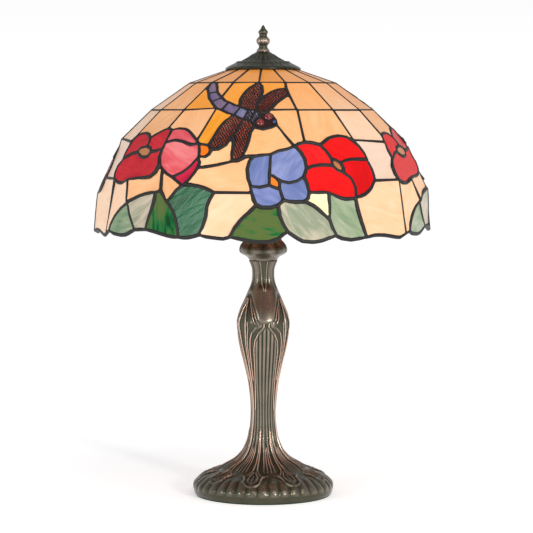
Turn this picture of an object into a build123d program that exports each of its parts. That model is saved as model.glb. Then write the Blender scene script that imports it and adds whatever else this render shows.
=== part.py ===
from build123d import *
import math
import os

# Stained glass table lamp. Millimetres, +Z up, the origin at the centre of the foot's underside.
# The front of the lamp faces -Y. Angles round the shade start at the gore line PATTERN_START
# degrees from the front and grow towards +X. The glass pattern repeats three times round the shade.

# ---- driving dimensions -------------------------------------------------------------------------
FELT = 1.5                    # thickness of the felt under the foot
FELT_RADIUS = 81.0
PLATE = 1.2                   # thickness of the steel bottom plate
PLATE_RADIUS = 79.5
FOOT_INNER_RADIUS = 79.8
WEB_LOW, WEB_HIGH = 30.0, 34.0    # the casting's clamping web
COLUMN_TOP = 283.0
NECK_INNER = 9.0
# Radius and height along the castings, from the foot up on the outside and down on the inside.
CASTING_OUTSIDE = [(82.5, FELT), (84.8, 11), (78, 19.6), (71, 25.5), (45.5, 37.5), (28.2, 49.5),
                   (18.9, 67.5), (15.3, 101), (19, 139), (27.4, 175), (32.2, 205), (22.5, 235),
                   (13.5, 261), (17, COLUMN_TOP)]
CASTING_INSIDE = [(NECK_INNER, 262), (18, 235), (27, 212), (27, 200), (22, 172), (15, 139), (11, 108),
                  (11, 94), (14.5, 68), (22, 52), (34, 38), (34, WEB_HIGH)]
CASTING_UNDERSIDE = [(48, WEB_LOW), (70, 20), (FOOT_INNER_RADIUS, 13)]
FOOT_SEAM, NECK_SEAM = 49.5, 205.0            # where the stacked castings meet
WEIGHT_SLOPE = [(66, 16), (44, WEB_LOW)]      # the iron weight's outer edge and shoulder

STEM_RADIUS = 5.0             # M10 all-thread tube
STEM_BORE = 3.4
STEM_HOLE = 5.2               # clearance hole for the stem
STEM_LOW, STEM_HIGH = 4.0, 346.0
NUT_ACROSS, NUT_HEIGHT = 17.0, 5.5
WASHER_RADIUS, WASHER = 10.5, 1.5
COUNTERBORE, COUNTERBORE_TOP = 13.0, 11.0

INLET_HEIGHT, INLET_RADIUS, INLET_BORE = 8.0, 4.5, 3.2
INLET_FLANGE, INLET_FLANGE_WIDTH = 5.6, 2.0
INLET_INSIDE, INLET_OUTSIDE = 77.0, 86.9      # how far back the bush starts and ends

COLLAR_TOP = 312.0
COLLAR_OUTSIDE = [(17.1, COLUMN_TOP), (21.8, 288), (28.5, 292), (29, 298), (22, 306), (12, COLLAR_TOP)]
SLEEVE_RADIUS = 8.0
CLUSTER_LOW, CLUSTER_HIGH, CLUSTER_RADIUS = 338.0, 366.0, 17.0
CLUSTER_BEVEL, CLUSTER_CROWN, CLUSTER_CROWN_RADIUS = 3.0, 6.0, 9.0
LAMP_TILT = 50.0              # lampholders lean this far from upright
LAMP_ROOT = (12.0, 352.0)     # where a lampholder's axis starts: out from the middle, and up
ARM_RADIUS, ARM_END = 6.0, 16.0
SHELL_RADIUS, SHELL_LENGTH, SHELL_WALL, SHELL_END = 19.0, 40.0, 1.2, 2.0
INSERT_RADIUS, INSERT_LENGTH, INSERT_HOLE = 17.4, 12.0, 2.5
CONTACT_RADIUS, CONTACT_PROUD = 2.3, 2.0
THREAD_RADIUS, THREAD_WALL, THREAD_LENGTH = 14.3, 0.6, 22.0
CAP_RADIUS, CAP_LENGTH = 13.2, 24.0           # E27 bulb cap
CAP_END = [(4.5, 0), (9, 2.5), (CAP_RADIUS, 6)]
GLOBE_RADIUS, BULB_LENGTH = 22.5, 72.0        # golf ball bulb
GLOBE_NECK = 130.0                            # degrees from the globe's tip to where its neck starts
GLOBE_IN_CAP = 1.0                            # the glass is this much narrower than the cap's end
INSERT_START = ARM_END + SHELL_END            # along a lampholder's axis

ROD_LOW, ROD_SHOULDER, ROD_TOP = 356.0, 497.0, 542.0
ROD_RADIUS, STUD_RADIUS = 4.8, 3.0
ROD_NUT_ACROSS, ROD_NUT_HEIGHT = 14.0, 6.0
RUNNING_FIT = 0.05
CLEARANCE = 0.3               # between pieces of different bodies
BULB_START = INSERT_START + INSERT_LENGTH + CONTACT_PROUD + CLEARANCE
WHEEL_HUB, WHEEL_HEIGHT = 9.0, 8.0
WHEEL_RIM_IN, WHEEL_RIM_OUT, WHEEL_RIM = 33.0, 41.0, 3.0
WHEEL_ARM = 5.0
WHEEL_ARM_IN_RIM = 2.0        # how far an arm runs into the rim
TOP_RING_INNER, TOP_RING_SHOULDER, TOP_RING_OUTER = 32.0, 38.0, 43.0
TOP_RING_EDGE, TOP_RING_HEIGHT = 1.0, 2.6
HEAT_CAP_TOP, HEAT_CAP_SHEET = 532.0, 1.6
HEAT_CAP_OUTSIDE = [(8, HEAT_CAP_TOP), (12.6, 528.7), (21.9, 522.7), (31.7, 519), (41.3, 514.3), (45, 512.2)]
HEAT_CAP_BRIM = [(45.3, 510.7), (43.6, 511.1)]
HEAT_CAP_INSIDE = [(39, 513.6), (31, 517.4), (21, 521.1), (11.6, 527.2)]
HEAT_CAP_THROAT = 7.0
FINIAL_TOP, FINIAL_SOCKET = 564.0, 4.0        # and how far the socket runs past the stud's end
FINIAL_OUTSIDE = [(7.9, HEAT_CAP_TOP), (6.7, 534.7), (5, 538.3), (8.1, 544), (7.8, 546.7), (4.8, 551.5),
                  (5.8, 555.6), (3.2, 558.6), (0.5, FINIAL_TOP)]

# ---- the shade's dome ---------------------------------------------------------------------------
# Corner radius and height of each ring, from under the heat cap down to the rim, measured a little
# outside the middle of the glass.
RINGS = [(37.5, 511), (87, 494.1), (132.4, 462.5), (170, 426.4), (191, 380.5), (198, 364), (201, 318)]
GORES = 18
GORE = 360 / GORES
REPEATS = 3
REPEAT = 360 / REPEATS
PATTERN_START = -63.0
GLASS = 3.0                   # thickness of the glass
FOIL = 0.4                    # copper foil and solder proud of each face
GLASS_SINK = 0.4              # from the rings down to the middle of the glass
FOIL_GAP = 0.8                # from a seam's middle to the foil's outer edge
LEAD_HALF = 1.5               # from a seam's middle to the clear glass
CHORD = 8.0                   # length of the straight steps along a curved seam
SHORTEST_SIDE, SHORTEST_INSET_SIDE = 0.6, 0.3
STRAIGHT = 0.02               # sides that turn by less than this, in radians, are in line

# ---- the glass pattern --------------------------------------------------------------------------
# A point of the pattern is (degrees round, mm down the glass from its top edge). Where two seams
# share a point they are joined there. Row lines lie 53, 108, 161 and 208 mm down.
ROW_1, ROW_2, ROW_3, ROW_4 = 53, 108, 161, 208

CURVES = [
    # small poppy: outline, the petals' joints and the rounded centre
    [(10.5, 154), (8, 149), (5, 147), (2, 148), (0, 151), (-1.5, ROW_3), (-1.5, 172), (-1, 182),
     (-3, 192), (-3, 201), (-2, ROW_4), (1, 211), (4.5, 212), (8, 208.5), (14, 205), (19.5, 202.5),
     (22, 197), (22.8, 189)],
    [(10.5, 154), (11.5, 160), (11.5, 166)],
    [(11.5, 166), (14.5, 168.5), (15.5, 172.5)],
    [(15.5, 172.5), (14.5, 178), (10.5, 179), (6.5, 173)],
    [(6.5, 173), (8, 168), (11.5, 166)],
    [(6.5, 173), (3, 175), (-1, 182)],
    [(15.5, 172.5), (19, 171.5), (21.8, 169)],
    [(10.5, 154), (14, 145.5), (18.8, 138), (21.5, 141)],
    # bud: its two petals, the folded edge and the sepal
    [(21.5, 141), (21.8, 151), (22.2, 161), (21.8, 169)],
    [(21.8, 169), (21.6, 179), (22.8, 189), (24.5, 194)],
    [(21.5, 141), (24.5, 138.5), (28, 139.5), (32, 146), (36.6, 157.5), (38, 162)],
    [(38, 162), (34.5, 163), (30.5, 159.5), (26.5, 157.5), (22.2, 161)],
    [(38, 162), (38.8, 170), (39, 178)],
    [(39, 178), (36.8, 187.5), (33.5, 197), (29.4, 203)],
    [(24.5, 194), (27, 199.5), (29.4, 203), (32.5, 209), (34.7, 213)],
    [(39, 178), (39.8, 185), (39.3, 191), (38.3, 199), (37, 207), (34.7, 213)],
    [(42, 163.5), (43, 167), (43.2, 169)],
    [(43.2, 169), (42.8, 174), (41.5, 177.5), (39, 178)],
    # dragonfly: both sides of the tail, the wings and the head
    [(20, ROW_1), (22, 66), (26, 75), (29.5, 85), (33.5, 93), (39, 105), (42, 108), (46, 114),
     (49, 117), (51.5, 121), (54, 124), (57, 127), (59, 131), (59, 137)],
    [(24.5, ROW_1), (29, 63), (32, 72), (34.5, 77), (38, 83), (41.5, 90), (44, 93), (48, 99),
     (51.5, 102), (53.5, 105), (56, 108), (59.5, 108), (62, 111)],
    [(62, 111), (61.5, 121), (59, 131)],
    [(51.5, 102), (50, 90), (51, 76), (54, 63), (60, ROW_1)],
    [(60, ROW_1), (62, 60), (62.5, 72), (61.5, 83), (60.5, 92)],
    [(60.5, 92), (63.5, 82), (68.5, 72), (73.5, 67), (79, 65)],
    [(79, 77), (74, 86), (70, 95), (66.5, ROW_2), (64.5, 112), (62, 111)],
    [(64.5, 112), (67, 116), (68.5, 124), (69, 134), (66.5, 137), (63, 139), (59, 137)],
    [(42, 163.5), (43, 151), (44, 138), (46, 126), (49, 117)],
    [(43.2, 169), (46, 168), (49, 162), (51, 149)],
    [(51, 149), (52.5, 140), (54, 124)],
    [(51, 149), (51.5, 162), (51.5, 172), (52, 183)],
    [(55.5, 180), (56.5, 170), (57.5, 157), (58, 144), (59, 137)],
    # blue flower: outline, pointed centre and the petals' joints
    [(60, 176), (58.2, 183), (57.6, 193), (58, 204), (58.9, 213.5), (59.3, 221), (60, 229), (60.8, 234),
     (62.5, 237.3), (65.5, 237.5), (68, 235), (69.8, 230)],
    [(65.2, 199), (66.4, 200.8), (67.5, 203.5)],
    [(67.5, 203.5), (68.6, 208.5), (68.6, 217)],
    [(68.6, 217), (66.8, 214.8), (65.1, 212.3)],
    [(65.1, 212.3), (61.8, 214.6), (58.9, 213.5)],
    [(67.5, 203.5), (69.6, 207.6), (72, 209.3), (74.7, 207.3), (77.2, 202)],
    [(68.6, 217), (69.2, 223.5), (69.8, 230)],
    [(69.8, 230), (71.3, 231), (73.8, 231.5), (76.6, 231), (77.9, 227.5), (78.4, 221)],
    [(65.8, 174.7), (68.8, 170.5), (72, 168.5), (75, 165)],
    [(75, 165), (77, 172.5), (78.2, 181), (78.4, 192.5), (77.2, 202)],
    [(77.2, 202), (78, 210), (78.4, 221)],
    # large poppy: outline, pointed centre and the petals' joints
    [(75, 165), (76.5, 161.5), (79, 159), (82, 159.5), (85.3, 163)],
    [(85.3, 163), (90, 154), (95, 150.5), (98.5, 152), (100.5, 157.5), (102.5, 165), (103.7, 174),
     (104.2, 182), (105.3, 195), (105, ROW_4), (102.7, 216), (99.3, 223), (95, 228.5)],
    [(85.3, 163), (87.4, 171), (88.8, 180), (90.6, 182), (92.2, 185.5)],
    [(92.2, 185.5), (92.9, 191), (92.8, 198)],
    [(92.8, 198), (90.2, 194), (88.9, 189)],
    [(92.2, 185.5), (95.5, 182), (99.5, 180.3), (104.2, 182)],
    [(92.8, 198), (95, 205), (95.8, 215.5), (95, 228.5)],
    [(78.4, 192.5), (80.8, 189), (84.3, 188), (88.9, 189)],
    [(95, 228.5), (91.5, 229), (88, 226), (85.2, 221.3), (81.5, 221), (78.4, 221)],
    # ground above the leaves
    [(39.3, 191), (46, 187.5), (52, 183)],
    [(52, 183), (54, 182.5), (55.5, 180), (57.5, 177.5), (60, 176), (65.8, 174.7)],
    [(34.7, 213), (38, 211.5), (42.5, 215), (46.7, 221)],
    # leaves
    [(34.7, 213), (32.5, 219), (31, 226), (29.5, 232.5)],
    [(29.5, 232.5), (32, 243), (33.8, 257), (34.8, 272)],
    [(46.7, 221), (45.2, 229), (44.4, 237), (44.2, 248), (43.3, 259), (42, 268.5)],
    [(24.5, 194), (25.3, 206), (26.3, 220)],
    [(11, 235), (15, 229), (20, 224), (24.7, 222), (26.3, 220)],
    [(24.7, 222), (24, 234), (22.5, 249), (21.2, 264.5)],
    [(8, 208.5), (9.5, 221), (11, 235)],
    [(11, 235), (12.5, 249), (15.5, 265.5)],
    [(11, 235), (7, 242), (3.2, 252.5), (1.3, 261), (0.3, 268.5)],
    [(60.8, 234), (58.3, 243), (55.8, 252), (53.8, 261), (52.3, 270.5)],
    [(68, 235), (68.5, 247), (69.5, 256), (71, 264.5)],
    [(95, 228.5), (95.6, 241), (96.9, 256), (98.6, 272.5)],
    [(85.2, 221.3), (85.3, 234), (85, 252), (85.9, 261), (87.3, 269.5)],
    [(76.6, 231), (79.8, 235.5), (82.6, 244), (85, 252)],
    # wavy rim
    [(-2, 271), (0.3, 268.5), (3, 271.5), (6, 272.5), (10, 272), (15.5, 265.5), (21.2, 264.5),
     (25.5, 267), (30, 270.5), (34.8, 272), (38.4, 271.5), (42, 268.5), (44.5, 270.5), (47.5, 271.7),
     (50, 272.5), (52.3, 270.5), (55, 272), (58, 274), (61.7, 275.5), (65.3, 275), (68, 272),
     (69.2, 268), (71, 264.5), (73, 269), (76, 275), (79, 276), (82.5, 274.5), (87.3, 269.5),
     (89.7, 273), (93, 274.7), (96, 273.5), (98.6, 272.5), (102, 270.5), (107, 271), (111, 273),
     (115, 274.7), (118, 271)],
]

LINES = [
    # top row
    *[[(GORE * k, 0), (GORE * k, ROW_1)] for k in range(6)],
    [(0, 0), *[(GORE * k, 0) for k in range(1, 6)], (REPEAT, 0)],
    [(0, ROW_1), (20, ROW_1), (24.5, ROW_1), (40, ROW_1), (60, ROW_1), (80, ROW_1), (100, ROW_1),
     (REPEAT, ROW_1)],
    # second row
    [(0, ROW_1), (0, ROW_2), (0, 151)],
    [(20, ROW_1), (20, ROW_2), (18.8, 138)],
    [(40, ROW_1), (38, 83)],
    [(80, ROW_1), (79, 65), (79, 77), (80, ROW_2), (79, 159)],
    [(100, ROW_1), (100, ROW_2), (100.5, 157.5)],
    [(0, ROW_2), (20, ROW_2), (39, 105), (36.6, 157.5)],
    [(66.5, ROW_2), (80, ROW_2), (100, ROW_2), (REPEAT, ROW_2)],
    # tail and body joints
    [(32, 72), (26, 75)],
    [(38, 83), (33.5, 93)],
    [(44, 93), (42, 108)],
    [(51.5, 102), (49, 117)],
    [(56, 108), (54, 124)],
    [(60.5, 92), (59.5, 108), (57, 127)],
    # ground round the flowers
    [(69, 134), (75, 165)],
    [(38, 162), (42, 163.5)],
    [(65.8, 174.7), (65.2, 199), (65.1, 212.3)],
    [(88.9, 189), (88.8, 180)],
    [(26.3, 220), (29.5, 232.5)],
    [(46.7, 221), (59.3, 221)],
    [(100.5, 157.5), (118.5, ROW_3)],
    [(105, ROW_4), (118, ROW_4)],
    [(-2, ROW_4), (-2, 271)],
]

# A point inside every pane, by the node that the pane belongs to.
PANES = {
    "ground_cream": [(110, 26), (110, 80), (110, 130), (108, 240), (3, 235), (52, 250)],
    "ground_peach": [(10, 26), (10, 80), (8, 130), (28, 130), (16, 215), (28, 214), (50, 205)],
    "ground_amber": [(50, 26), (70, 26), (24, 90), (45, 78), (39.5, 135), (72, 58)],
    "ground_honey": [(30, 26), (90, 26), (33, 65), (74, 98), (90, 80), (90, 130), (73, 125),
                     (65, 155), (46, 180)],
    "ground_rose_white": [(111, 185)],
    "ground_straw": [(83, 230)],
    "poppy_petals": [(83, 175), (97, 167), (87, 208), (101, 200)],
    "small_poppy_petals": [(6, 160), (18, 158), (10, 195)],
    "poppy_centres": [(11, 173), (91, 189)],
    "bud_petals": [(30, 152), (32, 185)],
    "bud_folds": [(36, 203)],
    "bud_sepals": [(41, 171), (67, 209)],
    "blue_petals": [(63, 200), (73, 185), (75, 220), (64, 228)],
    "dark_leaves": [(38, 245)],
    "mottled_leaves": [(29, 255), (62, 258)],
    "grey_leaves": [(19, 250), (78, 255)],
    "pale_leaves": [(8, 258), (93, 250)],
    "dragonfly_tails": [(27, 64), (32, 80), (39, 93), (46, 105)],
    "dragonfly_bodies": [(53, 112), (57, 117), (60, 118)],
    "dragonfly_wings": [(56, 80), (68, 85), (47, 140), (55, 155)],
    "dragonfly_heads": [(65, 128)],
}
EYES = [(65.5, 119.5), (61.8, 128.5)]
EYE_RADIUS, EYE_HEIGHT = 4.8, 3.0
BEAD = (68, 128)
BEAD_RADIUS, BEAD_HEIGHT = 2.0, 1.6


def dome_point(degrees, down):
    """The point of the dome's outer face at these pattern coordinates."""
    index = 0
    start = 0.0
    length = math.dist(RINGS[0], RINGS[1])
    while down > start + length and index < len(RINGS) - 2:
        start += length
        index += 1
        length = math.dist(RINGS[index], RINGS[index + 1])
    part = (down - start) / length
    (r_high, z_high), (r_low, z_low) = RINGS[index], RINGS[index + 1]
    corner_radius = r_high + part * (r_low - r_high)
    from_middle = degrees % GORE - GORE / 2
    radius = corner_radius * math.cos(math.radians(GORE / 2)) / math.cos(math.radians(from_middle))
    turn = math.radians(degrees + PATTERN_START)
    return Vector(radius * math.sin(turn), -radius * math.cos(turn), z_high + part * (z_low - z_high))


# ---- from seams to panes ------------------------------------------------------------------------
def key(point):
    """The same name for a point and its copy one repeat further round."""
    return (round(point[0] % REPEAT, 3), round(point[1], 3))


def step_count(a, b):
    return max(1, round((dome_point(*b) - dome_point(*a)).length / CHORD))


def smooth(before, a, b, after, count):
    """Points after a, up to b, on the Catmull-Rom curve through four points."""
    points = []
    for i in range(1, count + 1):
        t = i / count
        weights = ((-t + 2 * t ** 2 - t ** 3) / 2, (2 - 5 * t ** 2 + 3 * t ** 3) / 2,
                   (t + 4 * t ** 2 - 3 * t ** 3) / 2, (t ** 3 - t ** 2) / 2)
        points.append(tuple(sum(w * p[i] for w, p in zip(weights, (before, a, b, after)))
                            for i in range(2)))
    points[-1] = b
    return points


def seam_points(points, curved):
    """A seam as runs of close points, one run for each pair of the seam's own points."""
    runs = []
    for i in range(len(points) - 1):
        a, b = points[i], points[i + 1]
        if curved and len(points) > 2:
            before = points[i - 1] if i else (2 * a[0] - b[0], 2 * a[1] - b[1])
            after = points[i + 2] if i + 2 < len(points) else (2 * b[0] - a[0], 2 * b[1] - a[1])
            runs.append([a] + smooth(before, a, b, after, step_count(a, b)))
        else:
            runs.append([a, b])
    return runs


def cut_at_joints(seams):
    """Seams split wherever another seam starts, ends or passes through the same point."""
    uses = {}
    for seam in seams:
        for run in seam:
            uses[key(run[0])] = uses.get(key(run[0]), 0) + 1
            uses[key(run[-1])] = uses.get(key(run[-1]), 0) + 1
    joints = {point for point, count in uses.items() if count > 2}
    edges = []
    for seam in seams:
        edge = []
        for run in seam:
            edge = edge[:-1] + run if edge else list(run)
            if key(run[-1]) in joints:
                edges.append(edge)
                edge = []
        if edge:
            edges.append(edge)
    return edges


def trace_panes(edges):
    """The closed outlines between the seams, followed by always turning the same way."""
    halves = edges + [edge[::-1] for edge in edges]
    leaving = {}
    for half in halves:
        first, second = half[0], half[1]
        angle = math.atan2(second[1] - first[1], (second[0] - first[0]) * 2)
        leaving.setdefault(key(first), []).append((angle, id(half), half))
    for group in leaving.values():
        group.sort(key=lambda item: item[0])
    reverse = {id(edge): halves[i + len(edges)] for i, edge in enumerate(edges)}
    reverse.update({id(halves[i + len(edges)]): edge for i, edge in enumerate(edges)})
    seen = set()
    outlines = []
    for start in halves:
        if id(start) in seen:
            continue
        outline = []
        half, shift = start, 0.0
        while id(half) not in seen:
            seen.add(id(half))
            outline += [(a + shift, s) for a, s in half[:-1]]
            end = half[-1]
            group = leaving[key(end)]
            place = [item[1] for item in group].index(id(reverse[id(half)]))
            following = group[place - 1][2]
            shift += end[0] - following[0][0]
            half = following
        if abs(shift) < 1:
            outlines.append(outline)
    return outlines


def holds(outline, point):
    """True where the outline goes round the point."""
    inside = False
    for (xa, ya), (xb, yb) in zip(outline, outline[1:] + outline[:1]):
        if (ya > point[1]) != (yb > point[1]):
            if point[0] < xa + (point[1] - ya) / (yb - ya) * (xb - xa):
                inside = not inside
    return inside


# ---- flat panes and their foil ------------------------------------------------------------------
def pane_plane(corners):
    """The middle of a pane's glass: the flat plane that fits the outline best, facing outward."""
    middle = sum(corners, Vector(0, 0, 0)) / len(corners)
    normal = Vector(0, 0, 0)
    for a, b in zip(corners, corners[1:] + corners[:1]):
        normal += (a - middle).cross(b - middle)
    if normal.dot(Vector(middle.X, middle.Y, 0)) < 0:
        normal = -normal
    normal = normal.normalized()
    side = Vector(-middle.Y, middle.X, 0)
    return Plane(origin=middle - normal * GLASS_SINK, x_dir=side, z_dir=normal)


def clean(points, least):
    """The outline without points that nearly coincide."""
    kept = []
    for point in points:
        if not kept or math.dist(point, kept[-1]) > least:
            kept.append(point)
    while len(kept) > 3 and math.dist(kept[0], kept[-1]) <= least:
        kept.pop()
    return kept


def inset(points, distance):
    """The outline moved inward, leaving out every side that the move would turn round."""
    area = sum(a[0] * b[1] - b[0] * a[1] for a, b in zip(points, points[1:] + points[:1]))
    if area < 0:
        points = points[::-1]
    sides = []
    for a, b in zip(points, points[1:] + points[:1]):
        length = math.dist(a, b)
        ux, uy = (b[0] - a[0]) / length, (b[1] - a[1]) / length
        sides.append((a[0] - uy * distance, a[1] + ux * distance, ux, uy))
    while True:
        corners = []
        for (px, py, ux, uy), (qx, qy, vx, vy) in zip(sides[-1:] + sides[:-1], sides):
            turn = ux * vy - uy * vx
            if abs(turn) < STRAIGHT:
                corners.append((qx, qy))
            else:
                along = ((qx - px) * vy - (qy - py) * vx) / turn
                corners.append((px + along * ux, py + along * uy))
        lengths = [(b[0] - a[0]) * ux + (b[1] - a[1]) * uy
                   for a, b, (_, _, ux, uy) in zip(corners, corners[1:] + corners[:1], sides)]
        if min(lengths) > 0:
            return clean(corners, SHORTEST_INSET_SIDE)
        del sides[lengths.index(min(lengths))]


def slab(points, plane, thickness):
    """A flat plate of this outline, half its thickness each side of the plane."""
    face = make_face(Polyline(*points, close=True))
    return extrude(plane * face, amount=thickness / 2, both=True, dir=plane.z_dir)


def make_pane(outline):
    """The glass of one pane and the foil frame round it."""
    corners = [dome_point(*point) for point in outline]
    plane = pane_plane(corners)
    flat = [plane.to_local_coords(corner) for corner in corners]
    flat = clean([(p.X, p.Y) for p in flat], SHORTEST_SIDE)
    outer = inset(flat, FOIL_GAP)
    inner = inset(flat, LEAD_HALF)
    glass = slab(inner, plane, GLASS)
    frame = slab(outer, plane, GLASS + 2 * FOIL) - slab(inner, plane, GLASS + 4 * FOIL)
    return glass, frame, plane


def three_times(solids):
    """The same solids in each third of the shade."""
    pieces = [solid for shape in solids for solid in shape.solids()]
    return [piece.rotate(Axis.Z, REPEAT * k) for k in range(REPEATS) for piece in pieces]


def make_shade_glass():
    """Every glass node and the foil lattice between the panes."""
    seams = [seam_points(points, True) for points in CURVES]
    seams += [seam_points(points, False) for points in LINES]
    outlines = trace_panes(cut_at_joints(seams))
    nodes, frames, planes = {}, [], {}
    for name, points in PANES.items():
        nodes[name] = []
        for point in points:
            copies = [(point[0] + shift, point[1]) for shift in (-REPEAT, 0, REPEAT)]
            found = next(outline for outline in outlines if any(holds(outline, copy) for copy in copies))
            outlines.remove(found)
            glass, frame, plane = make_pane(found)
            nodes[name].append(glass)
            frames.append(frame)
            planes[point] = plane
    if outlines:
        raise ValueError(f"{len(outlines)} panes belong to no node")
    return nodes, frames, planes


# ---- turned parts -------------------------------------------------------------------------------
def turned(*points):
    """A solid of revolution about Z from (radius, height) corners."""
    return revolve(make_face(Polyline(*[(r, 0, z) for r, z in points], close=True)), Axis.Z)


def turned_curve(outer, inner):
    """A solid of revolution: a straight first side, a smooth outline, then straight inner corners."""
    first, *curve = [(r, 0, z) for r, z in outer]
    rest = Polyline(curve[-1], *[(r, 0, z) for r, z in inner], first, curve[0])
    return revolve(make_face(Spline(*curve) + rest), Axis.Z)


def ring(radius, bore, low, high):
    return turned((bore, low), (radius, low), (radius, high), (bore, high))


def hex_nut(across, bore, low, high):
    outside = extrude(RegularPolygon(across / 2, 6, major_radius=False), amount=high - low)
    return Pos(0, 0, low) * outside - Pos(0, 0, low) * Cylinder(bore, 2 * (high - low))


def inlet_place(piece):
    """A piece of the cable inlet, moved from +Z at the origin to +Y at the back of the foot."""
    return Pos(0, INLET_INSIDE, INLET_HEIGHT) * Rot(-90, 0, 0) * piece


def make_base_castings():
    """The foot, the column and the neck, stacked on the stem."""
    inner = [(NECK_INNER, COLUMN_TOP), *CASTING_INSIDE, (STEM_HOLE, WEB_HIGH), (STEM_HOLE, WEB_LOW),
             *CASTING_UNDERSIDE, (FOOT_INNER_RADIUS, FELT)]
    body = turned_curve(CASTING_OUTSIDE, inner)
    foot = split(body, Plane.XY.offset(FOOT_SEAM), keep=Keep.BOTTOM)
    above = split(body, Plane.XY.offset(FOOT_SEAM), keep=Keep.TOP)
    column = split(above, Plane.XY.offset(NECK_SEAM), keep=Keep.BOTTOM)
    neck = split(above, Plane.XY.offset(NECK_SEAM), keep=Keep.TOP)
    hole = inlet_place(Cylinder(INLET_RADIUS, 2 * (INLET_OUTSIDE - INLET_INSIDE)))
    return foot - hole, column, neck


def make_base_weight():
    low = FELT + PLATE
    return turned((STEM_HOLE, COUNTERBORE_TOP), (COUNTERBORE, COUNTERBORE_TOP), (COUNTERBORE, low),
                  (WEIGHT_SLOPE[0][0], low), *WEIGHT_SLOPE, (STEM_HOLE, WEB_LOW))


def make_cable_bush():
    """The grommet of the cable inlet."""
    length = INLET_OUTSIDE - INLET_INSIDE
    flange_start = length - INLET_FLANGE_WIDTH
    return inlet_place(turned((INLET_BORE, 0), (INLET_RADIUS, 0), (INLET_RADIUS, flange_start),
                              (INLET_FLANGE, flange_start), (INLET_FLANGE, length), (INLET_BORE, length)))


def make_neck_collar():
    return turned_curve(COLLAR_OUTSIDE, [(STEM_HOLE, COLLAR_TOP), (STEM_HOLE, COLUMN_TOP)])


def lamp_place(side, along=0.0):
    """Where a lampholder's axis passes, this far from its root; its Z points along the bulb."""
    out, height = LAMP_ROOT
    return Pos(side * out, 0, height) * Rot(0, side * LAMP_TILT, 0) * Pos(0, 0, along)


def make_cluster_body():
    """The block that joins the stem, both lampholders and the shade's rod, with a socket at each end."""
    return turned((STEM_RADIUS, CLUSTER_LOW), (CLUSTER_RADIUS - CLUSTER_BEVEL, CLUSTER_LOW),
                  (CLUSTER_RADIUS, CLUSTER_LOW + CLUSTER_BEVEL),
                  (CLUSTER_RADIUS, CLUSTER_HIGH - CLUSTER_CROWN), (CLUSTER_CROWN_RADIUS, CLUSTER_HIGH),
                  (ROD_RADIUS, CLUSTER_HIGH), (ROD_RADIUS, ROD_LOW), (0, ROD_LOW), (0, STEM_HIGH),
                  (STEM_RADIUS, STEM_HIGH))


def make_lamp_arm(side):
    """The short tube between the cluster and one lampholder."""
    arm = lamp_place(side) * ring(ARM_RADIUS, 0, 0, ARM_END)
    return arm - ring(CLUSTER_RADIUS, 0, 0, HEAT_CAP_TOP)


def make_lamp_shell(side):
    wall = SHELL_RADIUS - SHELL_WALL
    return lamp_place(side, ARM_END) * turned((0, 0), (SHELL_RADIUS, 0), (SHELL_RADIUS, SHELL_LENGTH),
                                              (wall, SHELL_LENGTH), (wall, SHELL_END), (0, SHELL_END))


def make_lamp_insert(side):
    """The ceramic insert that carries the contacts."""
    return lamp_place(side, INSERT_START) * ring(INSERT_RADIUS, INSERT_HOLE, 0, INSERT_LENGTH)


def make_contact(side):
    """The spring contact under the bulb's tip."""
    return lamp_place(side, INSERT_START) * ring(CONTACT_RADIUS, 0, 0, INSERT_LENGTH + CONTACT_PROUD)


def make_thread_sleeve(side):
    tube = ring(THREAD_RADIUS, THREAD_RADIUS - THREAD_WALL, 0, THREAD_LENGTH)
    return lamp_place(side, INSERT_START + INSERT_LENGTH) * tube


def make_bulb_cap(side):
    return lamp_place(side, BULB_START) * turned((0, 0), *CAP_END, (CAP_RADIUS, CAP_LENGTH), (0, CAP_LENGTH))


def make_bulb_globe(side):
    middle = BULB_LENGTH - GLOBE_RADIUS
    turn = math.radians(GLOBE_NECK)
    start = (0, 0, CAP_LENGTH)
    mouth = (CAP_RADIUS - GLOBE_IN_CAP, 0, CAP_LENGTH)
    neck = (GLOBE_RADIUS * math.sin(turn), 0, middle + GLOBE_RADIUS * math.cos(turn))
    tip = (0, 0, BULB_LENGTH)
    outline = Polyline(tip, start, mouth, neck) + ThreePointArc(neck, (GLOBE_RADIUS, 0, middle), tip)
    return lamp_place(side, BULB_START) * revolve(make_face(outline), Axis.Z)


def make_shade_rod():
    return turned((0, ROD_LOW), (ROD_RADIUS, ROD_LOW), (ROD_RADIUS, ROD_SHOULDER),
                  (STUD_RADIUS, ROD_SHOULDER), (STUD_RADIUS, ROD_TOP), (0, ROD_TOP))


def make_shade_wheel():
    """The four-armed carrier that the shade's top ring stands on."""
    top = ROD_SHOULDER + WHEEL_HEIGHT
    bore = STUD_RADIUS + RUNNING_FIT
    wheel = ring(WHEEL_HUB, 0, ROD_SHOULDER, top) + ring(WHEEL_RIM_OUT, WHEEL_RIM_IN, top - WHEEL_RIM, top)
    arms = Box(2 * (WHEEL_RIM_IN + WHEEL_ARM_IN_RIM), WHEEL_ARM, WHEEL_RIM)
    arms += Rot(0, 0, 90) * arms
    wheel += Pos(0, 0, top - WHEEL_RIM / 2) * arms
    return wheel - ring(bore, 0, 0, HEAT_CAP_TOP)


def make_top_ring():
    low = ROD_SHOULDER + WHEEL_HEIGHT
    high = low + TOP_RING_HEIGHT
    return turned((TOP_RING_INNER, low), (TOP_RING_OUTER, low), (TOP_RING_OUTER, low + TOP_RING_EDGE),
                  (TOP_RING_SHOULDER, high), (TOP_RING_INNER, high))


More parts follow.
